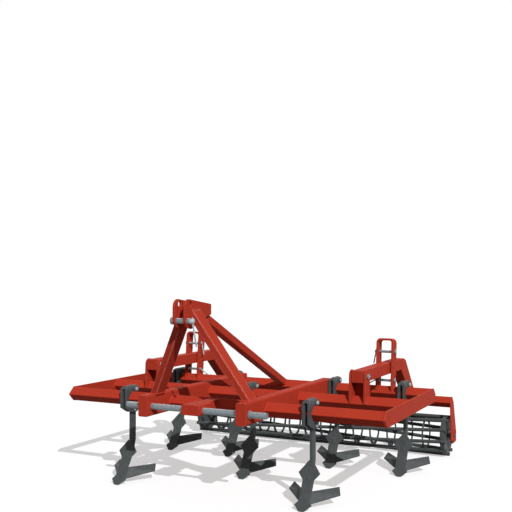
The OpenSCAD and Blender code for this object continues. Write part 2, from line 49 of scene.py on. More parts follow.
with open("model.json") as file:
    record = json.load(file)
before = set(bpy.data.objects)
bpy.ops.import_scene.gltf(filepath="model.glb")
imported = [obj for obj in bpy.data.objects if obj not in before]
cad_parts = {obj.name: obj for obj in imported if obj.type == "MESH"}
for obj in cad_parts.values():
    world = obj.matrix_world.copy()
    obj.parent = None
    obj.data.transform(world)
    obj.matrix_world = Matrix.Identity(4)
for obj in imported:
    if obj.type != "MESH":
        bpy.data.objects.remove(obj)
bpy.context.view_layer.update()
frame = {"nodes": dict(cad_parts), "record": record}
NODES = frame["nodes"]

SIDES = (-1, 1)
X, Y, Z = np.eye(3)
# Rows of tines: the beam that carries them, and their places across.
TINES = {
    "front_beam": (-0.870, 0.870),
    "middle_beam": (0.0,),
    "rear_beam": (-1.220, -0.541, 0.541, 1.220),
}
# The beams are square tubes on edge. This is half their diagonal, and then the same for the weld lines round
# them and round the roller beam, which lie a little inside because the corners are rounded.
BEAM_HALF = 0.0636
BEAM_WELD = 0.0622
ROLLER_BEAM_WELD = 0.0550
# Faces of such a tube, each by its two corners: f front, t top, r rear, b bottom.
ALL_ROUND = ("ft", "tr", "rb", "bf")
FRONT_FACES = ("ft", "bf")
TOP_FACES = ("ft", "tr")
# Profiles of a bolt's parts, as (height, radius) in thread diameters above the plate.
WASHER = ((0, 0), (0, 1.05), (0.12, 1.05), (0.15, 1), (0.15, 0))
BOLT_HEAD = ((0.15, 0), (0.15, 0.98), (0.68, 0.98), (0.78, 0.8232), (0.78, 0))
NUT = ((0.15, 0), (0.15, 0.98), (0.85, 0.98), (0.95, 0.8232), (0.95, 0))
THREAD_END = ((0.9, 0), (0.9, 0.5), (1.2, 0.5), (1.28, 0.42), (1.28, 0))
HEXAGON = 6
# Profiles of a grease nipple 16 mm high, as (height, radius) in metres.
NIPPLE_FOOT = ((0, 0), (0, 0.006), (0.004, 0.006), (0.005, 0.005), (0.005, 0))
NIPPLE_TIP = (
    (0.004, 0),
    (0.004, 0.0032),
    (0.009, 0.0030),
    (0.011, 0.0042),
    (0.014, 0.0042),
    (0.016, 0.0026),
    (0.016, 0),
)
# Profile of a linch pin with its collar: heights in diameters of its shaft, radii in metres.
LINCH_PIN = (
    (-0.8, 0),
    (-0.78, 0.004),
    (-0.7, 0.005),
    (0.62, 0.005),
    (0.62, 0.009),
    (0.82, 0.009),
    (0.86, 0.007),
    (0.86, 0),
)
# Weld beads: the share of the radius that ripples, the points along one ripple, the corners round the bead,
# and the share of the radius that is left at its blunt ends.
RIPPLE_SHARE = 0.18
RIPPLE_POINTS = 4
BEAD_CORNERS = 8
BEAD_END = 0.3
# Corners round a rod, and the angles in degrees up to which round pieces are shaded smooth.
ROD_CORNERS = 14
SMOOTH_ROD = 50
SMOOTH_ALL = 60
WHITE = "FFFFFF"


def low(node):
    """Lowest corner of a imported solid."""
    return np.array(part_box(node)[0])


def high(node):
    """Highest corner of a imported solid."""
    return np.array(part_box(node)[1])


def middle(node):
    """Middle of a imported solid's box."""
    return (low(node) + high(node)) / 2


def across(node):
    """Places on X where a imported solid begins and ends."""
    return low(node)[0], high(node)[0]


# Sizes and colours that a user would change


class HardwareSizes(bpy.types.PropertyGroup):
    """Sizes of the bolts, pins, handles and weld beads."""

    bolt: bpy.props.FloatProperty(
        name="Clamp bolt",
        description="Thread diameter of the clamp bolts",
        default=0.0155,
        unit="LENGTH",
    )
    eye: bpy.props.FloatProperty(
        name="Clamp eye",
        description="Radius of the round eyes that the clamp bolts sit in",
        default=0.030,
        unit="LENGTH",
    )
    small_bolt: bpy.props.FloatProperty(
        name="Bearing bolt",
        description="Thread diameter of the bearing bolts",
        default=0.014,
        unit="LENGTH",
    )
    plough_bolt: bpy.props.FloatProperty(
        name="Share bolt",
        description="Thread diameter of the share bolts",
        default=0.016,
        unit="LENGTH",
    )
    axle_bolt: bpy.props.FloatProperty(
        name="Axle bolt",
        description="Thread diameter of the bolts in the stub axles",
        default=0.016,
        unit="LENGTH",
    )
    handle: bpy.props.FloatProperty(
        name="Stop pin handle",
        description="Diameter of the stop pins' handles",
        default=0.012,
        unit="LENGTH",
    )
    link_handle: bpy.props.FloatProperty(
        name="Link pin handle",
        description="Diameter of the link pin's handle",
        default=0.014,
        unit="LENGTH",
    )
    clip: bpy.props.FloatProperty(
        name="Clip wire",
        description="Diameter of the linch pins' spring rings",
        default=0.005,
        unit="LENGTH",
    )
    weld: bpy.props.FloatProperty(
        name="Weld bead",
        description="Half width of the weld beads",
        default=0.0075,
        unit="LENGTH",
    )
    ripple: bpy.props.FloatProperty(
        name="Weld ripple",
        description="Pitch of the weld ripples",
        default=0.009,
        unit="LENGTH",
    )


class TineSizes(bpy.types.PropertyGroup):
    """Sizes of a share and its shank, beside the beam's axis."""

    top: bpy.props.FloatProperty(
        name="Share top",
        description="Height of the share's top",
        default=0.352,
        unit="LENGTH",
    )
    back: bpy.props.FloatProperty(
        name="Share set",
        description="How far the share's top lies behind the beam",
        default=0.008,
        unit="LENGTH",
    )
    reach: bpy.props.FloatProperty(
        name="Share reach",
        description="How far the point lies ahead of the top",
        default=0.193,
        unit="LENGTH",
    )
    turn: bpy.props.FloatProperty(
        name="Share turn",
        description="Angle of the share's curve",
        default=np.radians(30),
        subtype="ANGLE",
    )
    plate: bpy.props.FloatProperty(
        name="Share plate",
        description="Thickness of the share",
        default=0.014,
        unit="LENGTH",
    )
    shank: bpy.props.FloatProperty(
        name="Shank depth",
        description="Depth of the shank behind the share's top",
        default=0.064,
        unit="LENGTH",
    )
    shank_width: bpy.props.FloatProperty(
        name="Shank width",
        description="Width of the shank",
        default=0.025,
        unit="LENGTH",
    )
    wing_low: bpy.props.FloatProperty(
        name="Wing foot",
        description="Height of the wing's lower root",
        default=0.040,
        unit="LENGTH",
    )
    wing_high: bpy.props.FloatProperty(
        name="Wing top",
        description="Height of the wing's upper root",
        default=0.128,
        unit="LENGTH",
    )
    wing_plate: bpy.props.FloatProperty(
        name="Wing plate",
        description="Thickness of the wing",
        default=0.010,
        unit="LENGTH",
    )


class CageSizes(bpy.types.PropertyGroup):
    """Sizes of the cage's round bars."""

    bars: bpy.props.IntProperty(
        name="Bars",
        description="Number of bars in the cage",
        default=10,
        min=3,
    )
    bar: bpy.props.FloatProperty(
        name="Bar",
        description="Diameter of a cage bar",
        default=0.036,
        unit="LENGTH",
    )
    twist: bpy.props.FloatProperty(
        name="Twist",
        description="Turn of the bars from end to end",
        default=np.radians(50),
        subtype="ANGLE",
    )


class FinishColours(bpy.types.PropertyGroup):
    """Colours of the finishes, as sRGB hex values."""

    paint: bpy.props.StringProperty(
        name="Paint",
        description="Red powder coat",
        default="B03A28",
    )
    faded: bpy.props.StringProperty(
        name="Faded paint",
        description="Red coat where it is clouded",
        default="A63525",
    )
    # Painted highlight: lighter red along the edges, partly thin coat and partly a highlight painted where
    # edges catch the light.
    thin_coat_and_highlight: bpy.props.StringProperty(
        name="Paint edge",
        description="Red coat where it is thin",
        default="D4705A",
    )
    # Painted highlight: pale tone along the mast legs' rounded edges, where they catch the light.
    edge_wear_and_highlight: bpy.props.StringProperty(
        name="Rubbed paint",
        description="Primer on rubbed edges",
        default="F4C6BC",
    )
    charcoal: bpy.props.StringProperty(
        name="Charcoal",
        description="Dark dip paint",
        default="4E5253",
    )
    scale: bpy.props.StringProperty(
        name="Mill scale",
        description="Dark paint over mill scale",
        default="414546",
    )
    worn: bpy.props.StringProperty(
        name="Worn steel",
        description="Dark steel polished by soil",
        default="74797B",
    )
    zinc: bpy.props.StringProperty(
        name="Zinc",
        description="Zinc plate on pins",
        default="8A9397",
    )
    # Painted sheen: this lighter zinc on the bolts and nuts stands in for the glints of light on them.
    bright: bpy.props.StringProperty(
        name="Bright zinc",
        description="New zinc plate on bolts",
        default="BECAD1",
    )
    bloom: bpy.props.StringProperty(
        name="Zinc bloom",
        description="Weathered zinc plate",
        default="70787D",
    )
    floor: bpy.props.StringProperty(
        name="Floor",
        description="Studio floor",
        default="D0D0D0",
    )
    bounce: bpy.props.StringProperty(
        name="Floor bounce",
        description="Studio floor, for the light that it throws back",
        default="7A7A7A",
    )


# Surfaces as arrays


def lathe(profile, count=24, corners=0):
    """Surface of revolution about Z. Row i lies at height profile[i, 0] and radius profile[i, 1], and column
    j at the angle a = 2 pi j / count. With corners, the radius is that of a polygon:
    r cos(h) / cos(mod(a, 2 h) - h), where h = pi / corners."""
    profile = np.asarray(profile, float)
    angle = 2 * np.pi * np.arange(count) / count
    shape = np.ones(count)
    if corners:
        half = np.pi / corners
        shape = np.cos(half) / np.cos(np.mod(angle, 2 * half) - half)
    radius = profile[:, 1, None] * shape
    height = np.repeat(profile[:, :1], count, 1)
    return np.stack([radius * np.cos(angle), radius * np.sin(angle), height], -1)


def tube(path, radius, count):
    """Circle of the given radius carried along a path, closed with a point at each end. At a path point with
    the tangent t, the circle lies in the plane of n = t x s and t x n, where s is the axis that the path
    leaves most freely."""
    path = np.asarray(path, float)
    tangent = np.gradient(path, axis=0)
    tangent /= np.linalg.norm(tangent, axis=1, keepdims=True)
    spare = np.eye(3)[np.argmin(np.abs(tangent).max(0))]
    normal = np.cross(tangent, spare)
    normal /= np.linalg.norm(normal, axis=1, keepdims=True)
    side = np.cross(tangent, normal)
    angle = 2 * np.pi * np.arange(count) / count
    circle = normal[:, None] * np.cos(angle)[:, None] + side[:, None] * np.sin(angle)[:, None]
    radius = np.broadcast_to(np.asarray(radius, float), len(path))[:, None, None]
    first, last = (np.repeat(path[k][None, None], count, 1) for k in (0, -1))
    return np.concatenate([first, path[:, None] + radius * circle, last])


def stand(grid, origin, axis):
    """Turns a grid made about Z so that Z points along axis, and moves it to origin."""
    axis = np.asarray(axis, float) / np.linalg.norm(axis)
    side = np.cross(np.eye(3)[np.argmin(np.abs(axis))], axis)
    side /= np.linalg.norm(side)
    return np.asarray(origin, float) + grid @ np.stack([side, np.cross(axis, side), axis])


def bend(points, count=8):
    """Smooth line through a few points, by Catmull-Rom: each stretch is the cubic whose slope at a point is
    half the step between its neighbours."""
    knots = np.asarray(points, float)
    knots = np.concatenate([2 * knots[:1] - knots[1:2], knots, 2 * knots[-1:] - knots[-2:-1]])
    t = np.linspace(0, 1, count, endpoint=False)[:, None]
    runs = [
        0.5 * (2 * b + (c - a) * t + (2 * a - 5 * b + 4 * c - d) * t**2 + (3 * b - a - 3 * c + d) * t**3)
        for a, b, c, d in zip(knots, knots[1:], knots[2:], knots[3:])
    ]
    return np.concatenate(runs + [knots[-2:-1]])


def loop(radius, wire, count=28, section=11):
    """Ring of round wire about Z. At the angle b round the wire, b = 0 .. 2 pi, it lies at the height
    wire sin b and the radius less wire (1 - cos b)."""
    b = np.linspace(0, 2 * np.pi, section)
    return lathe(np.stack([wire * np.sin(b), radius - wire * (1 - np.cos(b))], -1), count)


def hex_bolt(thread, origin, axis):
    """Washer and chamfered hexagon head of a bolt with that thread diameter, on the plane through origin."""
    washer = lathe(thread * np.array(WASHER))
    head = lathe(thread * np.array(BOLT_HEAD), corners=HEXAGON)
    return [stand(grid, origin, axis) for grid in (washer, head)]


def hex_nut(thread, origin, axis):
    """Washer, chamfered nut and the thread's end standing out of it, on the plane through origin."""
    washer = lathe(thread * np.array(WASHER))
    nut = lathe(thread * np.array(NUT), corners=HEXAGON)
    end = lathe(thread * np.array(THREAD_END), count=16)
    return [stand(grid, origin, axis) for grid in (washer, nut, end)]


def nipple(origin, axis):
    """Grease nipple: hexagon foot, waist and ball tip."""
    foot = lathe(NIPPLE_FOOT, count=18, corners=HEXAGON)
    tip = lathe(NIPPLE_TIP, count=14)
    return [stand(grid, origin, axis) for grid in (foot, tip)]


def linch_pin(origin, shaft, wire):
    """Upright pin through the end of a shaft of that diameter, and the spring ring that closes round it."""
    ring_radius = 0.7 * shaft
    ring_rise = 0.15 * shaft
    pin = lathe(np.array(LINCH_PIN) * [shaft, 1], count=16)
    ring = loop(ring_radius, wire / 2)
    return [stand(pin, origin, Z), stand(ring, origin + ring_rise * Z, X)]


def swell(half, length, pitch):
    """Radius of a weld bead at a length s along it: half (1 - k + k |sin(pi s / pitch)|), where k is the
    share that ripples."""
    return half * (1 - RIPPLE_SHARE + RIPPLE_SHARE * np.abs(np.sin(np.pi * length / pitch)))


def bead(begin, end, half, pitch):
    """Weld bead from begin to end: a tube that swells at the given pitch and narrows at both ends."""
    begin = np.asarray(begin, float)
    end = np.asarray(end, float)
    whole = np.linalg.norm(end - begin)
    length = np.linspace(0, whole, max(int(whole / pitch * RIPPLE_POINTS), 2 * RIPPLE_POINTS))
    narrow = np.clip(np.minimum(length, whole - length) / half, BEAD_END, 1)
    path = begin + (end - begin) * (length / whole)[:, None]
    return tube(path, swell(half, length, pitch) * narrow, BEAD_CORNERS)


def seam_ring(origin, axis, radius, half, pitch, count=97):
    """Weld bead all round a bar: a circle of the given radius about axis, which swells at the given pitch."""
    angle = np.linspace(0, 2 * np.pi, count)
    circle = np.stack([radius * np.cos(angle), radius * np.sin(angle), 0 * angle], -1)
    return tube(stand(circle, origin, axis), swell(half, radius * angle, pitch), BEAD_CORNERS)


def on_edge(x, y, z, half, faces):
    """Lines along the faces of a square tube on edge whose axis passes (y, z), in the plane x."""
    corner = {"f": (x, y - half, z), "t": (x, y, z + half), "r": (x, y + half, z), "b": (x, y, z - half)}
    return [(corner[a], corner[b]) for a, b in faces]


def closed(corners):
    """Lines that join the corners in turn, back to the first."""
    return list(zip(corners, corners[1:] + corners[:1]))


def piece(name, grids, material, body, angle=35):
    """Joins the grids into one mesh at the origin. A grid's rows run along the shape, and its columns close
    into rings. Rows that shrink to a point are merged into a pole, and a last row that repeats the first is
    joined to it. The angle, in degrees, is the one up to which faces are shaded smooth."""
    points = []
    faces = []
    first = 0
    for grid in grids:
        rows, count = grid.shape[:2]
        index = first + np.arange(rows * count).reshape(rows, count)
        pole = np.allclose(grid[0], grid[0, 0])
        if np.allclose(grid[0], grid[-1]) and not pole:
            index[-1] = index[0]
            grid = grid[:-1]
        following = np.roll(index, -1, 1)
        quads = np.stack([index[:-1], following[:-1], following[1:], index[1:]], -1)
        points.append(grid.reshape(-1, 3))
        faces.append(quads.reshape(-1, 4))
        first += len(grid) * count
    mesh = bpy.data.meshes.new(name)
    mesh.from_pydata(np.concatenate(points), [], np.concatenate(faces))
    work = bmesh.new()
    work.from_mesh(mesh)
    bmesh.ops.dissolve_degenerate(work, edges=work.edges, dist=1e-6)
    bmesh.ops.recalc_face_normals(work, faces=work.faces)
    work.to_mesh(mesh)
    work.free()
    mesh.shade_smooth()
    mesh.set_sharp_from_angle(angle=np.radians(angle))
    mesh.materials.append(material)
    made = bpy.data.objects.new(name, mesh)
    bpy.context.scene.collection.objects.link(made)
    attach(made, body)
    return made


# Materials


def linear(code, alpha=1.0):
    """Linear colour of an sRGB hex value: ((c + 0.055) / 1.055) ** 2.4 above 0.04045, c / 12.92 below."""
    c = np.array([int(code[k : k + 2], 16) for k in (0, 2, 4)]) / 255
    return (*np.where(c > 0.04045, ((c + 0.055) / 1.055) ** 2.4, c / 12.92), alpha)


def add(tree, kind, settings=None, links=None):
    """Adds a node. A setting is one of its properties, or else the value of an input socket. A link feeds an
    input socket from a socket, or from the first output of a node. Where names repeat, as on the Mix node,
    sockets go by number."""
    made = tree.nodes.new(kind)
    for key, value in (settings or {}).items():
        if isinstance(key, str) and hasattr(made, key):
            setattr(made, key, value)
        else:
            made.inputs[key].default_value = value
    for key, source in (links or {}).items():
        socket = source.outputs[0] if isinstance(source, bpy.types.Node) else source
        tree.links.new(socket, made.inputs[key])
    return made


def emptied(owner):
    """Node tree of a material or a world, switched on and emptied."""
    owner.use_nodes = True
    owner.node_tree.nodes.clear()
    return owner.node_tree


def per_metre(mm):
    """Scale of a pattern whose cells measure so many millimetres."""
    return 1000.0 / mm


def edge_mask(tree, normal):
    """Mask from 0 on flats to 1 on edges, where the dot product of the rounded and the true normal falls."""
    true = add(tree, "ShaderNodeNewGeometry").outputs["True Normal"]
    dot = add(tree, "ShaderNodeVectorMath", {"operation": "DOT_PRODUCT"}, {0: normal, 1: true})
    fall = {"From Min": 0.985, "From Max": 0.86}
    return add(tree, "ShaderNodeMapRange", fall, {"Value": dot.outputs["Value"]})


def coated(name, tones, bevel, cloud_mm, scuff_mm, wear_and_highlight_amount, rough, skin_mm, bump, specular):
    """Coat on steel: clouded between the first two tones, lighter towards the third where the edge mask
    times the scuffs is high, with a roughness that follows the scuffs, and a bumpy skin. On the dip paint the
    third tone is worn steel; on the red coats it is a painted highlight, partly thin coat."""
    material = bpy.data.materials.new(name)
    tree = emptied(material)
    dark, light, edge_wear_and_highlight = (linear(tone) for tone in tones)
    place = {"Vector": add(tree, "ShaderNodeTexCoord").outputs["Object"]}
    normal = add(tree, "ShaderNodeBevel", {"samples": 6, "Radius": bevel})
    clouds = {"Scale": per_metre(cloud_mm), "Detail": 4.0, "Roughness": 0.6}
    cloud = add(tree, "ShaderNodeTexNoise", clouds, place)
    spread = add(tree, "ShaderNodeMapRange", {"From Min": 0.3, "From Max": 0.75}, {"Value": cloud})
    shade = add(tree, "ShaderNodeMix", {"data_type": "RGBA", 6: dark, 7: light}, {0: spread})
    scuffs = {"Scale": per_metre(scuff_mm), "Detail": 5.0, "Roughness": 0.65}
    scuff = add(tree, "ShaderNodeTexNoise", scuffs, place)
    # The edge tone: worn steel on the dip paint, a painted highlight (partly thin coat) on the red coats.
    worn = add(tree, "ShaderNodeMath", {"operation": "MULTIPLY"}, {0: scuff, 1: edge_mask(tree, normal)})
    edge_tone_range = {"From Min": 0.2, "From Max": 0.6, "To Max": wear_and_highlight_amount}
    edge_tone_share = add(tree, "ShaderNodeMapRange", edge_tone_range, {"Value": worn})
    base = add(tree, "ShaderNodeMix", {"data_type": "RGBA", 7: edge_wear_and_highlight}, {0: edge_tone_share, 6: shade.outputs[2]})
    rough_range = {"From Min": 0.25, "From Max": 0.75, "To Min": rough[0], "To Max": rough[1]}
    gloss = add(tree, "ShaderNodeMapRange", rough_range, {"Value": scuff})
    skin = add(tree, "ShaderNodeTexNoise", {"Scale": per_metre(skin_mm), "Detail": 3.0}, place)
    depth = {"Strength": bump, "Distance": 0.002}
    relief = add(tree, "ShaderNodeBump", depth, {"Height": skin, "Normal": normal})
    shader = add(
        tree,
        "ShaderNodeBsdfPrincipled",
        {"IOR": 1.5, "Specular IOR Level": specular},
        {"Base Color": base.outputs[2], "Roughness": gloss, "Normal": relief},
    )
    add(tree, "ShaderNodeOutputMaterial", links={"Surface": shader})
    return material


def red_coat(name, colours, edge_wear_and_highlight, bevel, wear_and_highlight_amount):
    """Red powder coat on welded steel: satin, faintly clouded by dust in patches of 400 mm, lighter on edges
    in scuffs of 30 mm, partly thin coat and partly a painted highlight. Its orange peel of about 2 mm is
    drawn at 7 mm to show."""
    return coated(
        name,
        tones=(colours.faded, colours.paint, edge_wear_and_highlight),
        bevel=bevel,
        cloud_mm=400,
        scuff_mm=30,
        wear_and_highlight_amount=wear_and_highlight_amount,
        rough=(0.46, 0.62),
        skin_mm=7,
        bump=0.10,
        specular=0.02,
    )


def powder_coat(colours):
    """Red powder coat of the machine, lighter along the edges: partly thin coat, partly a painted highlight.
    """
    return red_coat("red_powder_coat", colours, colours.thin_coat_and_highlight, bevel=0.004, wear_and_highlight_amount=0.8)


def edge_highlight_coat(colours):
    """Red powder coat of the mast legs, with a pale painted highlight along their rounded edges."""
    return red_coat("rubbed_red_powder_coat", colours, colours.edge_wear_and_highlight, bevel=0.014, wear_and_highlight_amount=2.0)


def dip_paint(colours):
    """Charcoal dip paint on forged and rolled steel: matt, mottled by mill scale in patches of 60 mm, worn
    lighter along edges. The forging skin of about 4 mm is drawn at 9 mm to show."""
    return coated(
        "charcoal_dip_paint",
        tones=(colours.scale, colours.charcoal, colours.worn),
        bevel=0.003,
        cloud_mm=60,
        scuff_mm=25,
        wear_and_highlight_amount=0.7,
        rough=(0.45, 0.65),
        skin_mm=9,
        bump=0.12,
        specular=0.15,
    )


def zinc_plate(name, dull, clear):
    """Zinc-plated steel: bluish metal, dulled by the grey bloom that weather leaves in spots of 12 mm."""
    material = bpy.data.materials.new(name)
    tree = emptied(material)
    place = {"Vector": add(tree, "ShaderNodeTexCoord").outputs["Object"]}
    normal = add(tree, "ShaderNodeBevel", {"samples": 6, "Radius": 0.002})
    spots = {"Scale": per_metre(12), "Detail": 5.0, "Roughness": 0.6}
    bloom = add(tree, "ShaderNodeTexNoise", spots, place)
    spread = add(tree, "ShaderNodeMapRange", {"From Min": 0.3, "From Max": 0.7}, {"Value": bloom})
    tones = {"data_type": "RGBA", 6: linear(dull), 7: linear(clear)}
    shade = add(tree, "ShaderNodeMix", tones, {0: spread})
    rough_range = {"From Min": 0.25, "From Max": 0.75, "To Min": 0.55, "To Max": 0.38}
    gloss = add(tree, "ShaderNodeMapRange", rough_range, {"Value": bloom})
    depth = {"Strength": 0.06, "Distance": 0.001}
    relief = add(tree, "ShaderNodeBump", depth, {"Height": bloom, "Normal": normal})
    shader = add(
        tree,
        "ShaderNodeBsdfPrincipled",
        {"Metallic": 0.2},
        {"Base Color": shade.outputs[2], "Roughness": gloss, "Normal": relief},
    )
    add(tree, "ShaderNodeOutputMaterial", links={"Surface": shader})
    return material


def old_zinc(colours):
    """Zinc plate of the bar and the pins, weathered."""
    return zinc_plate("weathered_zinc_plate", colours.bloom, colours.zinc)


def zinc_with_painted_sheen(colours):
    """Zinc plate of the bolts and nuts, with a lighter tone that paints in the sheen of their glints."""
    return zinc_plate("bright_zinc_plate", colours.zinc, colours.bright)


def shown(tree):
    """1 for camera, mirror and glass rays, 0 for the rays that carry light between surfaces."""
    path = add(tree, "ShaderNodeLightPath").outputs
    either = {"operation": "MAXIMUM"}
    seen = add(tree, "ShaderNodeMath", either, {0: path["Is Camera Ray"], 1: path["Is Glossy Ray"]})
    return add(tree, "ShaderNodeMath", either, {0: seen, 1: path["Is Transmission Ray"]})


def studio_floor(colours):
    """Matt white sheet with a faint glow of its own, which keeps its shadows pale. It throws little light
    back up."""
    material = bpy.data.materials.new("studio_floor_sheet")
    tree = emptied(material)
    sheet = add(tree, "ShaderNodeBsdfDiffuse", {"Color": linear(colours.floor)})
    glow = add(tree, "ShaderNodeEmission", {"Color": linear(WHITE), "Strength": 0.38})
    pale = add(tree, "ShaderNodeAddShader", links={0: sheet, 1: glow})
    grey = add(tree, "ShaderNodeBsdfDiffuse", {"Color": linear(colours.bounce)})
    mix = add(tree, "ShaderNodeMixShader", links={0: shown(tree), 1: grey, 2: pale})
    add(tree, "ShaderNodeOutputMaterial", links={"Surface": mix})
    return material


def studio_sky():
    """World that is white where the camera sees it, and gives the object a soft grey light."""
    world = bpy.data.worlds.new("studio_sky")
    tree = emptied(world)
    light = add(tree, "ShaderNodeBackground", {"Color": linear(WHITE), "Strength": 0.30})
    white = add(tree, "ShaderNodeBackground", {"Color": linear(WHITE), "Strength": 1.0})
    mix = add(tree, "ShaderNodeMixShader", links={0: shown(tree), 1: light, 2: white})
    add(tree, "ShaderNodeOutputWorld", links={"Surface": mix})
    return world


def finish(name):
    """A finish by its name, made when it is first asked for."""
    makers = {
        "red_paint": powder_coat,
        "edge_highlight_paint": edge_highlight_coat,
        "dark_steel": dip_paint,
        "zinc_steel": old_zinc,
        "sheen_zinc": zinc_with_painted_sheen,
    }
    store = bpy.context.scene
    if name not in store:
        store[name] = makers[name](store.finish_colours).name
    return bpy.data.materials[store[name]]


# Lines that the pieces follow


def bow(sizes, back, z):
    """Point (y, z) of the share's curve at height z, moved back, and its unit normal to the front. The curve
    is the arc through top and point with the given turn: r = chord / (2 sin(turn / 2)), and the centre lies
    r cos(turn / 2) from the chord's middle."""
    top = np.array([sizes.back, sizes.top])
    point = top - [sizes.reach, sizes.top]
    chord = np.linalg.norm(top - point)
    r = chord / (2 * np.sin(sizes.turn / 2))
    ahead = np.array([-sizes.top, sizes.reach]) / chord
    centre = (top + point) / 2 + r * np.cos(sizes.turn / 2) * ahead
    place = np.array([centre[0] + np.sqrt(r**2 - (z - centre[1]) ** 2), z])
    return place + [back, 0], (centre - place) / r


def guide_lines(x):
    """Foot of a depth guide in the plane x: lines up the upper faces of the rear beam, from the guide's
    edges to the top."""
    _, y, z = middle("rear_beam")
    run = 0.84 * BEAM_WELD
    top = (x, y, z + BEAM_WELD)
    return [((x, y + way * run, z + BEAM_WELD - run), top) for way in SIDES]


def leg_lines(side):
    """Foot and head of a mast leg: the edges of its tube, cut by the planes of the spar's top and the mast
    plate. A corner c goes along the leg's axis u to the plane with normal n through p by
    u ((p - c) . n) / (u . n)."""
    half_width = 0.030
    half_depth = 0.0625
    foot_out = 0.435
    foot_ahead = 0.195
    head_ahead = 0.375
    head_drop = 0.140
    front = middle("front_beam")[1]
    foot = np.array([foot_out, front - foot_ahead, high("spar_right")[2]])
    head = np.array([high("mast_plates")[0], front - head_ahead, high("mast_plates")[2] - head_drop])
    up = (head - foot) / np.linalg.norm(head - foot)
    wide = np.cross(Y, up)
    wide /= np.linalg.norm(wide)
    deep = np.cross(up, wide)
    signs = ((-1, -1), (-1, 1), (1, 1), (1, -1))
    tube_corners = [foot + a * half_width * wide + b * half_depth * deep for a, b in signs]
    lines = []
    for point, normal in ((foot, Z), (head, X)):
        cut = [c + up * ((point - c) @ normal) / (up @ normal) for c in tube_corners]
        lines += closed([c * [side, 1, 1] for c in cut])
    return lines


def stay_lines():
    """Foot of the middle stay on the upper front face of the rear beam."""
    half_width = 0.04
    lower = 0.052
    upper = 0.004
    _, y, z = middle("rear_beam")
    ends = ((-half_width, lower), (-half_width, upper), (half_width, upper), (half_width, lower))
    return closed([(x, y - down, z + BEAM_HALF - down) for x, down in ends])


# Operators


class CULTIVATOR_OT_paint(bpy.types.Operator):
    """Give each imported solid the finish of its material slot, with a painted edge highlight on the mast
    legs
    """

    bl_idname = "cultivator.paint"
    bl_label = "Paint the Solids"

    def execute(self, context):
        for part in frame["record"]["subparts"]:
            data = NODES[part["node"]].data
            data.materials.clear()
            # The mast legs take the coat with a pale painted highlight along their edges.
            edge_wear_and_highlight = part["node"].startswith("mast_leg")
            data.materials.append(finish("edge_highlight_paint" if edge_wear_and_highlight else part["material_slot"]))
        return {"FINISHED"}


class CULTIVATOR_OT_clamp_bolts(bpy.types.Operator):
    """Bolt each clamp behind its beam, above and below, through round eyes, with heads on the right"""

    bl_idname = "cultivator.clamp_bolts"
    bl_label = "Clamp Bolts"

    def execute(self, context):
        thread = context.scene.hardware_sizes.bolt
        eye = context.scene.hardware_sizes.eye
        # An eye reaches through its cheek and stands out of it.
        cheek = 0.022
        stand_out = 0.006
        rounding = 0.003
        boss = [
            (-cheek, 0),
            (-cheek, eye - rounding),
            (rounding - cheek, eye),
            (stand_out - rounding, eye),
            (stand_out, eye - rounding),
            (stand_out, 0),
        ]
        # Places of the bolts, behind and above the beam's axis.
        upper = (0.052, 0.078)
        lower = (0.040, -0.098)
        half = (high("clamps_middle") - low("clamps_middle"))[0] / 2
        seat = half + stand_out
        bolts = []
        eyes = []
        for beam, places in TINES.items():
            centre = middle(beam)
            for x in places:
                for behind, rise in (upper, lower):
                    at = np.array([x, centre[1] + behind, centre[2] + rise])
                    for side in SIDES:
                        eyes.append(stand(lathe(boss, count=32), at + side * half * X, side * X))
                    bolts += hex_bolt(thread, at + seat * X, X)
                    bolts += hex_nut(thread, at - seat * X, -X)
        piece("clamp_bolts", bolts, finish("sheen_zinc"), "frame")
        piece("clamp_eyes", eyes, finish("dark_steel"), "frame")
        return {"FINISHED"}


class CULTIVATOR_OT_share_bolts(bpy.types.Operator):
    """Bolt each share to its shank with two flat plough bolts, heads on the face and nuts behind the shank"""

    bl_idname = "cultivator.share_bolts"
    bl_label = "Share Bolts"

    def execute(self, context):
        thread = context.scene.hardware_sizes.plough_bolt
        sizes = context.scene.tine_sizes
        bolt_heights = (0.292, 0.222)
        flat_head = [
            (-0.002, 0),
            (-0.002, 1.1 * thread),
            (0.001, 1.05 * thread),
            (0.0025, 0.8 * thread),
            (0.003, 0),
        ]
        nut_thread = 0.8 * thread
        # The nuts start a few millimetres inside the shank's back, so that no gap shows under them.
        shank_back = sizes.plate + 0.92 * sizes.shank
        heads = []
        nuts = []
        for beam, places in TINES.items():
            y = middle(beam)[1]
            for x in places:
                for z in bolt_heights:
                    face, normal = bow(sizes, 0.0, z)
                    ahead = np.array([0, *normal])
                    heads.append(stand(lathe(flat_head), [x, y + face[0], z], ahead))
                    rear = bow(sizes, shank_back, z)[0]
                    nuts += hex_nut(nut_thread, [x, y + rear[0], z], -ahead)
        piece("share_bolt_heads", heads, finish("dark_steel"), "frame")
        piece("share_bolt_nuts", nuts, finish("sheen_zinc"), "frame")
        return {"FINISHED"}


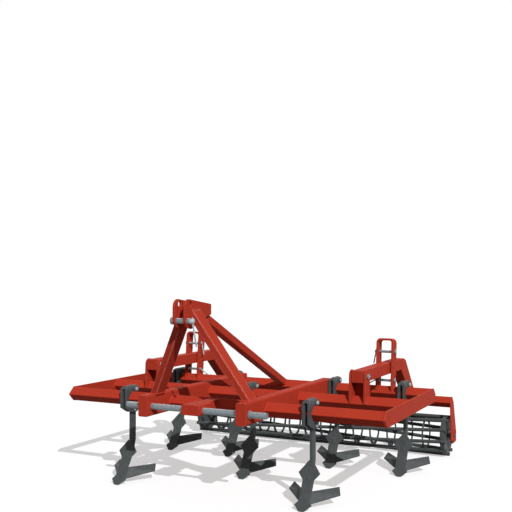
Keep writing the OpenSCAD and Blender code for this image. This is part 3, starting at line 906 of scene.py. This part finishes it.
class CULTIVATOR_OT_pin_handles(bpy.types.Operator):
    """Hang a rod from the link pin and from each stop pin, with linch pins at the other ends"""

    bl_idname = "cultivator.pin_handles"
    bl_label = "Pin Handles"

    def execute(self, context):
        sizes = context.scene.hardware_sizes
        grids = self.link_pin(sizes.link_handle) + self.stop_pins(sizes.handle, sizes.clip)
        piece("pin_handles", grids, finish("sheen_zinc"), "frame", SMOOTH_ROD)
        return {"FINISHED"}

    @staticmethod
    def link_pin(rod):
        """Cross-bored hub on the right end of the link pin, with a long rod hanging through it."""
        hub = 0.034
        hub_radius = 0.020
        chamfer = 0.004
        overlap = 0.002
        bore = 0.6 * hub
        cap = [
            (-overlap, 0),
            (-overlap, hub_radius),
            (hub - chamfer, hub_radius),
            (hub, hub_radius - chamfer),
            (hub, 0),
        ]
        hang = [(0, 0, 0.028), (0, 0, 0), (0.003, 0.008, -0.05), (0.012, 0.042, -0.2)]
        end = np.array([high("link_pin")[0], *middle("link_pin")[1:]])
        return [
            stand(lathe(cap), end, X),
            tube(bend(end + bore * X + np.array(hang)), rod / 2, ROD_CORNERS),
        ]

    @staticmethod
    def stop_pins(rod, wire):
        """Rods through the inner ends of the stop pins, where the upper ones hang and the lower ones lie on
        the beam, and linch pins through the outer ends."""
        pin_radius = 0.012
        inset = 0.009
        overhang = 0.2
        outer = high("stop_pins")[0]
        inner = 2 * middle("guide_right")[0] - outer
        lower = low("stop_pins") + pin_radius
        upper = high("stop_pins") - pin_radius
        # Each rod's swing towards the middle of the machine, and its fall.
        hang = ((lower, 0.080, 0.047), (upper, 0.024, 0.115))
        grids = []
        for side in SIDES:
            for place, swing, fall in hang:
                tip = np.array([side * (inner + inset), place[1], place[2]])
                clip = np.array([side * (outer - inset), place[1], place[2]])
                run = np.array([-side * swing, 0, -fall])
                grids.append(tube(bend([tip - overhang * run, tip, tip + run]), rod / 2, ROD_CORNERS))
                grids += linch_pin(clip, 2 * pin_radius, wire)
        return grids


class CULTIVATOR_OT_bracket_webs(bpy.types.Operator):
    """Close each pivot bracket behind with a plate from the beam to just under the arm"""

    bl_idname = "cultivator.bracket_webs"
    bl_label = "Bracket Webs"

    def execute(self, context):
        thick = 0.010
        bevel = 0.0015
        set_in = 0.008
        cheek = 0.020
        under_pin = 0.058
        beam = middle("middle_beam")
        rear = high("pivot_bracket_right")[1] - set_in
        inner = low("pivot_bracket_right")[0] + cheek
        outer = high("pivot_bracket_right")[0] - cheek
        top = middle("pivot_pins")[2] - under_pin
        foot = beam[2] + BEAM_HALF - (rear - beam[1])
        corners = np.array([(inner, foot), (outer, foot), (outer, top), (inner, top)])
        centre = corners.mean(0)
        reach = corners - centre
        # The outline at each depth, drawn in by the bevel at both faces, which close in the middle.
        outlines = [(0, 0 * reach)]
        for depth, inset in ((0, bevel), (bevel, 0), (thick - bevel, 0), (thick, bevel)):
            outlines.append((depth, reach * (1 - inset / np.abs(reach))))
        outlines.append((thick, 0 * reach))
        grids = []
        for side in SIDES:
            rows = []
            for depth, outline in outlines:
                x, z = (centre + outline).T
                rows.append(np.stack([side * x, np.full_like(x, rear - depth), z], -1))
            grids.append(np.array(rows))
        piece("bracket_webs", grids, finish("red_paint"), "frame")
        return {"FINISHED"}


class CULTIVATOR_OT_pivot_hardware(bpy.types.Operator):
    """Secure the pivot pins: washers and split pins on the inside, grease nipples in the heads"""

    bl_idname = "cultivator.pivot_hardware"
    bl_label = "Pivot Hardware"

    def execute(self, context):
        ring = 0.025
        ring_thick = 0.004
        split_radius = 0.003
        split_reach = 0.022
        split_inset = 0.009
        split_corners = 10
        washer = [(0, 0), (0, ring), (ring_thick, ring), (ring_thick, 0)]
        pin = middle("pivot_pins")
        head = high("pivot_pins")[0]
        inside = low("pivot_bracket_right")[0]
        grids = []
        for side in SIDES:
            grids.append(stand(lathe(washer), [side * inside, pin[1], pin[2]], -side * X))
            tip = np.array([side * (inside - split_inset), pin[1], pin[2]])
            split = [tip - split_reach * Z, tip, tip + split_reach * Z]
            grids.append(tube(split, split_radius, split_corners))
            grids += nipple([side * head, pin[1], pin[2]], side * X)
        piece("pivot_hardware", grids, finish("sheen_zinc"), "frame")
        return {"FINISHED"}


class CULTIVATOR_OT_bearing_bolts(bpy.types.Operator):
    """Bolt the bearings to the roller plates, with painted heads outside, and a bolt in each stub axle"""

    bl_idname = "cultivator.bearing_bolts"
    bl_label = "Bearing Bolts"

    def execute(self, context):
        sizes = context.scene.hardware_sizes
        plate_and_flange = 0.024
        spread = 0.040
        nipple_in = 0.030
        nipple_off = 0.027
        sink = 0.0003
        axle = middle("cage_rings")
        outer = high("roller_plate_right")[0]
        inner = outer - plate_and_flange
        heads = []
        nuts = []
        turning = []
        for side in SIDES:
            for dy in (-spread, spread):
                for dz in (-spread, spread):
                    place = np.array([0, axle[1] + dy, axle[2] + dz])
                    heads += hex_bolt(sizes.small_bolt, place + side * outer * X, side * X)
                    nuts += hex_nut(sizes.small_bolt, place + side * inner * X, -side * X)
            housing = [side * (outer - nipple_in), axle[1] - nipple_off, axle[2] + nipple_off]
            nuts += nipple(housing, Z - Y)
            turning += hex_bolt(sizes.axle_bolt, [side * (outer - sink), axle[1], axle[2]], side * X)
        piece("bearing_bolts", heads, finish("red_paint"), "roller_frame")
        piece("bearing_nuts", nuts, finish("sheen_zinc"), "roller_frame")
        piece("axle_bolts", turning, finish("dark_steel"), "roller")
        return {"FINISHED"}


class CULTIVATOR_OT_frame_welds(bpy.types.Operator):
    """Run weld beads along the joints of the frame"""

    bl_idname = "cultivator.frame_welds"
    bl_label = "Frame Welds"

    def execute(self, context):
        sizes = context.scene.hardware_sizes
        # Half the width of the hitch block's neck, and the seam round the hitch bar.
        neck = 0.045
        bar_seam = 0.026
        z = middle("front_beam")[2]
        y = {name: middle(name)[1] for name in TINES}
        lines = []
        for side in SIDES:
            end = low("end_plate_right")[0]
            for name in TINES:
                lines += on_edge(side * end, y[name], z, BEAM_WELD, ALL_ROUND)
                faces = FRONT_FACES if name == "rear_beam" else ALL_ROUND
                for x in across("spar_right"):
                    lines += on_edge(side * x, y[name], z, BEAM_WELD, faces)
            for x in across("pivot_bracket_right"):
                lines += on_edge(side * x, y["middle_beam"], z, BEAM_WELD, TOP_FACES)
            for x in across("guide_right"):
                lines += guide_lines(side * x)
            lines += leg_lines(side)
            lines += on_edge(side * neck, y["front_beam"], z, BEAM_WELD, FRONT_FACES)
        lines += stay_lines()
        grids = [bead(begin, end, sizes.weld, sizes.ripple) for begin, end in lines]
        bar = middle("hitch_bar")
        for x in (high("hitch_block")[0], low("spar_right")[0]):
            for side in SIDES:
                place = [side * x, bar[1], bar[2]]
                grids.append(seam_ring(place, X, bar_seam, sizes.weld, sizes.ripple))
        piece("frame_welds", grids, finish("red_paint"), "frame", SMOOTH_ALL)
        return {"FINISHED"}


class CULTIVATOR_OT_wing_welds(bpy.types.Operator):
    """Run weld beads where the wings' backs meet the shanks"""

    bl_idname = "cultivator.wing_welds"
    bl_label = "Wing Welds"

    def execute(self, context):
        sizes = context.scene.hardware_sizes
        tine = context.scene.tine_sizes
        # The bead leaves out the lower part of the wing's root, and is finer than those of the frame.
        left_out = 0.35
        half = 0.7 * sizes.weld
        pitch = 0.8 * sizes.ripple
        set_back = 1.2 * tine.wing_plate
        foot = bow(tine, tine.plate, tine.wing_low)[0]
        top = bow(tine, tine.plate, tine.wing_high)[0]
        along = (top - foot) / np.linalg.norm(top - foot)
        behind = set_back * np.array([along[1], -along[0]])
        stretch = (foot + left_out * (top - foot) + behind, top + behind)
        grids = []
        for beam, places in TINES.items():
            y = middle(beam)[1]
            for x in places:
                for side in SIDES:
                    root = x + side * tine.shank_width / 2
                    begin, end = ([root, y + point[0], point[1]] for point in stretch)
                    grids.append(bead(begin, end, half, pitch))
        piece("wing_welds", grids, finish("dark_steel"), "frame", SMOOTH_ALL)
        return {"FINISHED"}


class CULTIVATOR_OT_arm_welds(bpy.types.Operator):
    """Run weld beads along the joints of the roller arms, their beam and the roller plates"""

    bl_idname = "cultivator.arm_welds"
    bl_label = "Arm Welds"

    def execute(self, context):
        sizes = context.scene.hardware_sizes
        weld = 0.8 * sizes.weld
        half = ROLLER_BEAM_WELD
        # Depth of an arm, and how far its knee lies behind the front beam.
        arm_depth = 0.1
        knee_behind = 1.7156
        _, y, z = middle("roller_beam")
        inner, outer = across("roller_arm_right")
        top = high("roller_arm_right")[2]
        bottom = top - arm_depth
        knee = middle("front_beam")[1] + knee_behind
        lines = []
        for side in SIDES:
            lines += on_edge(side * low("roller_plate_right")[0], y, z, half, ALL_ROUND)
            for x in (inner, outer):
                lines += on_edge(side * x, y, z, half, ("ft",))
                lines.append(((side * x, knee, bottom), (side * x, knee, top)))
            for line_y, line_z in ((knee, top), (y, z + half), (y - half, z)):
                lines.append(((side * inner, line_y, line_z), (side * outer, line_y, line_z)))
        grids = [bead(begin, end, weld, sizes.ripple) for begin, end in lines]
        piece("arm_welds", grids, finish("red_paint"), "roller_frame", SMOOTH_ALL)
        return {"FINISHED"}


class CULTIVATOR_OT_cage_bars(bpy.types.Operator):
    """Carry a circle along each twisted bar of the cage"""

    bl_idname = "cultivator.cage_bars"
    bl_label = "Cage Bars"

    def execute(self, context):
        sizes = context.scene.cage_sizes
        stations = 49
        corners = 20
        begin = low("cage_bars")
        end = high("cage_bars")
        centre = middle("cage_rings")
        ring = (end - begin)[1] / 2 - sizes.bar / 2
        x = np.linspace(begin[0], end[0], stations)
        turn = sizes.twist * (0.5 - (x - begin[0]) / (end[0] - begin[0]))
        grids = []
        for k in range(sizes.bars):
            angle = 2 * np.pi * (k + 0.5) / sizes.bars - np.pi / 2 + turn
            path = np.stack([x, centre[1] + ring * np.cos(angle), centre[2] + ring * np.sin(angle)], -1)
            grids.append(tube(path, sizes.bar / 2, corners))
        made = piece("round_cage_bars", grids, finish("dark_steel"), "roller", SMOOTH_ALL)
        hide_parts("cage_bars")
        return {"FINISHED"}


class CULTIVATOR_OT_stage(bpy.types.Operator):
    """Set up the floor, the light and the camera"""

    bl_idname = "cultivator.stage"
    bl_label = "Studio"

    def execute(self, context):
        scene = context.scene
        scene.view_settings.view_transform = "Standard"
        scene.world = studio_sky()
        self.lay_floor(scene)
        # The key light comes from the front right with a nearly crisp shadow. A weak fill from behind throws
        # none.
        self.hang_lamp(scene, "key_light", energy=3.3, heading=47, shadow=True)
        self.hang_lamp(scene, "fill_light", energy=0.7, heading=227, shadow=False)
        self.set_camera(scene)
        return {"FINISHED"}

    @staticmethod
    def lay_floor(scene):
        """Flat floor, wide enough to reach the horizon."""
        half = 200.0
        corners = [(-half, -half, 0), (half, -half, 0), (half, half, 0), (-half, half, 0)]
        mesh = bpy.data.meshes.new("studio_floor")
        mesh.from_pydata(corners, [], [(0, 1, 2, 3)])
        mesh.materials.append(studio_floor(scene.finish_colours))
        floor = bpy.data.objects.new("studio_floor", mesh)
        scene.collection.objects.link(floor)

    @staticmethod
    def hang_lamp(scene, name, energy, heading, shadow):
        """Distant lamp 36 degrees above the floor. Its heading is in degrees about Z."""
        tilt = 54
        spread = 0.8
        lamp = bpy.data.lights.new(name, "SUN")
        lamp.energy = energy
        lamp.angle = np.radians(spread)
        lamp.use_shadow = shadow
        made = bpy.data.objects.new(name, lamp)
        made.rotation_euler = (np.radians(tilt), 0, np.radians(heading))
        scene.collection.objects.link(made)

    @staticmethod
    def set_camera(scene):
        """Camera at the photograph's place and angle. The angles are in radians."""
        raised = 0.029
        turned = 0.4718
        lens = bpy.data.cameras.new("camera")
        lens.sensor_width = 36.0
        lens.lens = 55.32
        lens.clip_end = 500
        camera = bpy.data.objects.new("camera", lens)
        camera.location = (3.3195, -6.6893, 1.7788)
        camera.rotation_euler = (np.pi / 2 + raised, 0, turned)
        scene.collection.objects.link(camera)
        scene.camera = camera


class CULTIVATOR_PT_looks(bpy.types.Panel):
    """Sidebar panel that lists the pieces"""

    bl_idname = "CULTIVATOR_PT_looks"
    bl_label = "Cultivator"
    bl_space_type = "VIEW_3D"
    bl_region_type = "UI"
    bl_category = "Cultivator"

    def draw(self, context):
        for group in GROUPS:
            owner = getattr(context.scene, group)
            for key in owner.bl_rna.properties.keys():
                if key not in ("rna_type", "name"):
                    self.layout.prop(owner, key)
        for operator in OPERATORS:
            self.layout.operator(operator.bl_idname)


GROUPS = {
    "hardware_sizes": HardwareSizes,
    "tine_sizes": TineSizes,
    "cage_sizes": CageSizes,
    "finish_colours": FinishColours,
}
OPERATORS = (
    CULTIVATOR_OT_stage,
    CULTIVATOR_OT_paint,
    CULTIVATOR_OT_clamp_bolts,
    CULTIVATOR_OT_share_bolts,
    CULTIVATOR_OT_pin_handles,
    CULTIVATOR_OT_bracket_webs,
    CULTIVATOR_OT_pivot_hardware,
    CULTIVATOR_OT_bearing_bolts,
    CULTIVATOR_OT_frame_welds,
    CULTIVATOR_OT_wing_welds,
    CULTIVATOR_OT_arm_welds,
    CULTIVATOR_OT_cage_bars,
)


def register():
    """Registers the classes and hangs the sizes and colours on the scene."""
    for cls in (*GROUPS.values(), *OPERATORS, CULTIVATOR_PT_looks):
        bpy.utils.register_class(cls)
    for name, group in GROUPS.items():
        setattr(bpy.types.Scene, name, bpy.props.PointerProperty(type=group))


def unregister():
    """Undoes register."""
    for name in GROUPS:
        delattr(bpy.types.Scene, name)
    for cls in (CULTIVATOR_PT_looks, *reversed(OPERATORS), *reversed(GROUPS.values())):
        bpy.utils.unregister_class(cls)


def main():
    """Dresses the part."""
    register()
    for operator in OPERATORS:
        family, name = operator.bl_idname.split(".")
        getattr(getattr(bpy.ops, family), name)()


if __name__ == "__main__":
    main()
